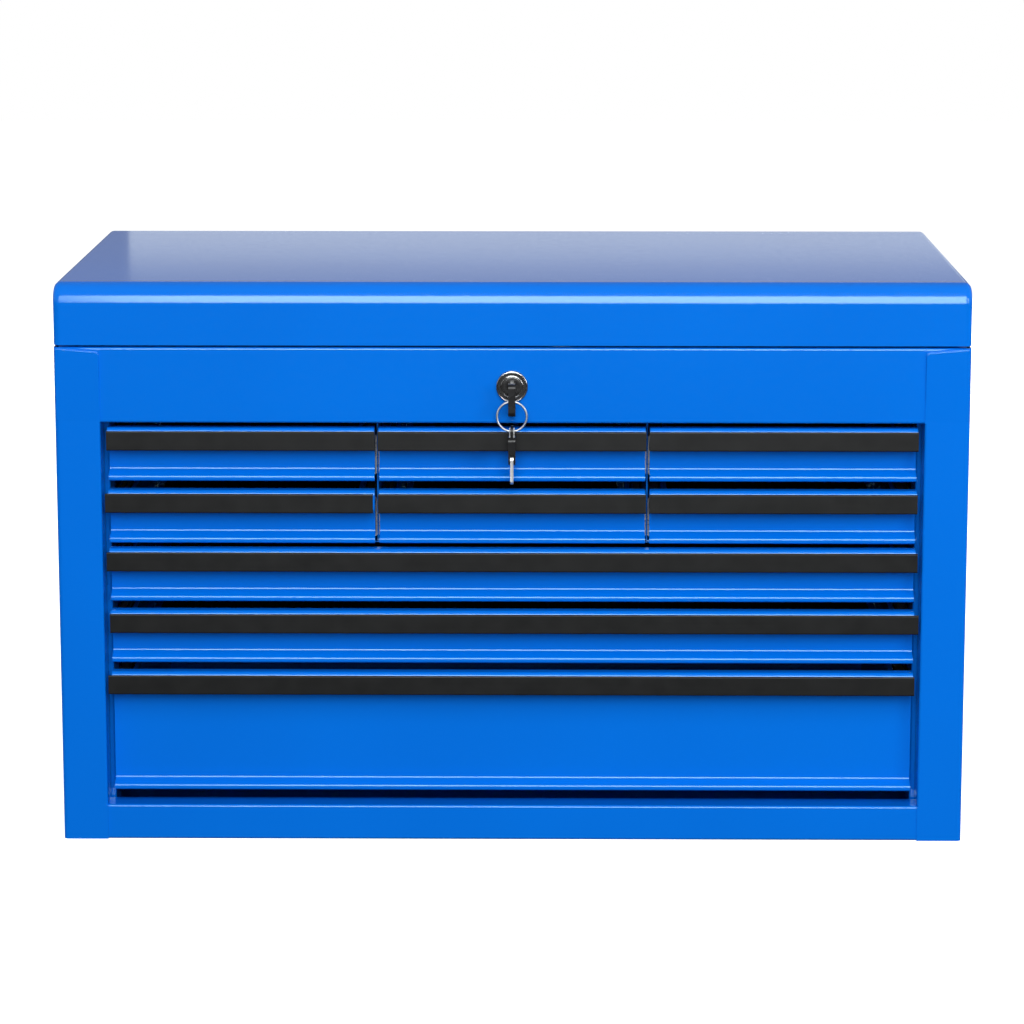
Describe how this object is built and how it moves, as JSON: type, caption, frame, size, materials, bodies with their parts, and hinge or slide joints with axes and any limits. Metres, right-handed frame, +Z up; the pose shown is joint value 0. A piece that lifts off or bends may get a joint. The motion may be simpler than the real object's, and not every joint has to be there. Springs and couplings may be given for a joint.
{
  "type": "top tool chest",
  "caption": "Sheet-steel top tool chest with a hinged lid over an open till, small and full-width drawers with clip-on pulls, a cam lock with folding keys and side handles.",
  "frame": {"origin": "middle of the cabinet's footprint, on the surface that the chest stands on", "axes": "+Z up, the drawers open towards -Y, +X along the chest to the right of someone facing its front"},
  "size_m": [0.64, 0.3516, 0.384],
  "materials": {
    "blue_powder_coat": "semi-gloss powder coat with a fine orange peel",
    "black_pull": "satin black moulding",
    "zinc_steel": "bright zinc plate",
    "chrome_plate": "polished chrome plate",
    "black_enamel": "gloss black enamel",
    "black_plastic": "smooth black moulding",
    "key_steel": "nickel-plated stamped steel"
  },
  "bodies": {
    "cabinet": {"side_panel_left": "blue_powder_coat", "side_panel_right": "blue_powder_coat", "back_panel": "blue_powder_coat", "base_pan": "blue_powder_coat", "lock_rail": "blue_powder_coat", "till_floor": "blue_powder_coat", "middle_shelf": "blue_powder_coat", "column_dividers": "blue_powder_coat", "slide_posts": "blue_powder_coat", "outer_slides": "zinc_steel", "hinge_body_leaf": "zinc_steel", "hinge_pin": "zinc_steel", "strut_studs_body": "zinc_steel", "lock_housing": "black_enamel", "lock_nut": "zinc_steel", "handle_brackets": "black_enamel"},
    "lid": {"lid_shell": "blue_powder_coat", "hinge_lid_leaf": "zinc_steel", "strut_studs_lid": "zinc_steel", "lid_catch": "zinc_steel"},
    "strut_cylinder_left": {"strut_cylinder_left": "black_enamel"},
    "strut_cylinder_right": {"strut_cylinder_right": "black_enamel"},
    "strut_rod_left": {"strut_rod_left": "chrome_plate"},
    "strut_rod_right": {"strut_rod_right": "chrome_plate"},
    "lock_plug": {"lock_plug": "chrome_plate", "lock_cam": "zinc_steel", "key_blade": "key_steel"},
    "key_head": {"key_head": "black_plastic"},
    "key_ring": {"key_ring": "key_steel"},
    "spare_key_head": {"spare_key_head": "black_plastic"},
    "spare_key_blade": {"spare_key_blade": "key_steel"},
    "side_handle_left": {"side_handle_left": "chrome_plate"},
    "side_handle_right": {"side_handle_right": "chrome_plate"},
    "drawer_top_left": {"drawer_top_left": "blue_powder_coat", "pull_top_left": "black_pull", "slides_top_left": "zinc_steel"},
    "drawer_top_middle": {"drawer_top_middle": "blue_powder_coat", "pull_top_middle": "black_pull", "slides_top_middle": "zinc_steel"},
    "drawer_top_right": {"drawer_top_right": "blue_powder_coat", "pull_top_right": "black_pull", "slides_top_right": "zinc_steel"},
    "drawer_second_left": {"drawer_second_left": "blue_powder_coat", "pull_second_left": "black_pull", "slides_second_left": "zinc_steel"},
    "drawer_second_middle": {"drawer_second_middle": "blue_powder_coat", "pull_second_middle": "black_pull", "slides_second_middle": "zinc_steel"},
    "drawer_second_right": {"drawer_second_right": "blue_powder_coat", "pull_second_right": "black_pull", "slides_second_right": "zinc_steel"},
    "drawer_third": {"drawer_third": "blue_powder_coat", "pull_third": "black_pull", "slides_third": "zinc_steel"},
    "drawer_fourth": {"drawer_fourth": "blue_powder_coat", "pull_fourth": "black_pull", "slides_fourth": "zinc_steel"},
    "drawer_bottom": {"drawer_bottom": "blue_powder_coat", "pull_bottom": "black_pull", "slides_bottom": "zinc_steel"}
  },
  "joints": [
    {"name": "lid_hinge", "type": "hinge", "parent": "cabinet", "child": "lid", "pos_m": [0, 0.16793, 0.3418], "axis": [-1, 0, 0], "range_deg": [0, 85], "stiffness_Nm_per_rad": 1.25, "springref_deg": 105.42},
    {"name": "strut_cylinder_left_pivot", "type": "hinge", "parent": "cabinet", "child": "strut_cylinder_left", "pos_m": [-0.29, 0.12508, 0.2998], "axis": [-1, 0, 0], "range_deg": [0, 42.5]},
    {"name": "strut_rod_left_pivot", "type": "hinge", "parent": "lid", "child": "strut_rod_left", "pos_m": [-0.29, 0.11782, 0.3748], "axis": [-1, 0, 0], "range_deg": [-42.5, 0]},
    {"name": "strut_cylinder_right_pivot", "type": "hinge", "parent": "cabinet", "child": "strut_cylinder_right", "pos_m": [0.29, 0.12508, 0.2998], "axis": [-1, 0, 0], "range_deg": [0, 42.5]},
    {"name": "strut_rod_right_pivot", "type": "hinge", "parent": "lid", "child": "strut_rod_right", "pos_m": [0.29, 0.11782, 0.3748], "axis": [-1, 0, 0], "range_deg": [-42.5, 0]},
    {"name": "drawer_top_left_slide", "type": "slide", "parent": "cabinet", "child": "drawer_top_left", "axis": [0, -1, 0], "range_m": [0, 0.2]},
    {"name": "drawer_top_middle_slide", "type": "slide", "parent": "cabinet", "child": "drawer_top_middle", "axis": [0, -1, 0], "range_m": [0, 0.2]},
    {"name": "drawer_top_right_slide", "type": "slide", "parent": "cabinet", "child": "drawer_top_right", "axis": [0, -1, 0], "range_m": [0, 0.2]},
    {"name": "drawer_second_left_slide", "type": "slide", "parent": "cabinet", "child": "drawer_second_left", "axis": [0, -1, 0], "range_m": [0, 0.2]},
    {"name": "drawer_second_middle_slide", "type": "slide", "parent": "cabinet", "child": "drawer_second_middle", "axis": [0, -1, 0], "range_m": [0, 0.2]},
    {"name": "drawer_second_right_slide", "type": "slide", "parent": "cabinet", "child": "drawer_second_right", "axis": [0, -1, 0], "range_m": [0, 0.2]},
    {"name": "drawer_third_slide", "type": "slide", "parent": "cabinet", "child": "drawer_third", "axis": [0, -1, 0], "range_m": [0, 0.2]},
    {"name": "drawer_fourth_slide", "type": "slide", "parent": "cabinet", "child": "drawer_fourth", "axis": [0, -1, 0], "range_m": [0, 0.2]},
    {"name": "drawer_bottom_slide", "type": "slide", "parent": "cabinet", "child": "drawer_bottom", "axis": [0, -1, 0], "range_m": [0, 0.2]},
    {"name": "lock_turn", "type": "hinge", "parent": "cabinet", "child": "lock_plug", "pos_m": [0, -0.1662, 0.3148], "axis": [0, 1, 0], "range_deg": [0, 90]},
    {"name": "key_fold", "type": "hinge", "parent": "lock_plug", "child": "key_head", "pos_m": [0, -0.171, 0.3148], "axis": [-1, 0, 0], "range_deg": [0, 90]},
    {"name": "key_ring_swing", "type": "hinge", "parent": "key_head", "child": "key_ring", "pos_m": [0, -0.175, 0.3061], "axis": [-1, 0, 0], "range_deg": [0, 45]},
    {"name": "spare_key_swing", "type": "hinge", "parent": "key_ring", "child": "spare_key_head", "pos_m": [0, -0.175, 0.2861], "axis": [-1, 0, 0], "range_deg": [0, 45]},
    {"name": "spare_key_fold", "type": "hinge", "parent": "spare_key_head", "child": "spare_key_blade", "pos_m": [0, -0.175, 0.2667], "axis": [-1, 0, 0], "range_deg": [0, 90]},
    {"name": "side_handle_left_swing", "type": "hinge", "parent": "cabinet", "child": "side_handle_left", "pos_m": [-0.3145, 0, 0.2], "axis": [0, 1, 0], "range_deg": [0, 90]},
    {"name": "side_handle_right_swing", "type": "hinge", "parent": "cabinet", "child": "side_handle_right", "pos_m": [0.3145, 0, 0.2], "axis": [0, -1, 0], "range_deg": [0, 90]}
  ],
  "couplings": [
    {"joint": "strut_cylinder_left_pivot", "follows": "lid_hinge", "ratio": 0.5},
    {"joint": "strut_rod_left_pivot", "follows": "lid_hinge", "ratio": -0.5},
    {"joint": "strut_cylinder_right_pivot", "follows": "lid_hinge", "ratio": 0.5},
    {"joint": "strut_rod_right_pivot", "follows": "lid_hinge", "ratio": -0.5}
  ]
}
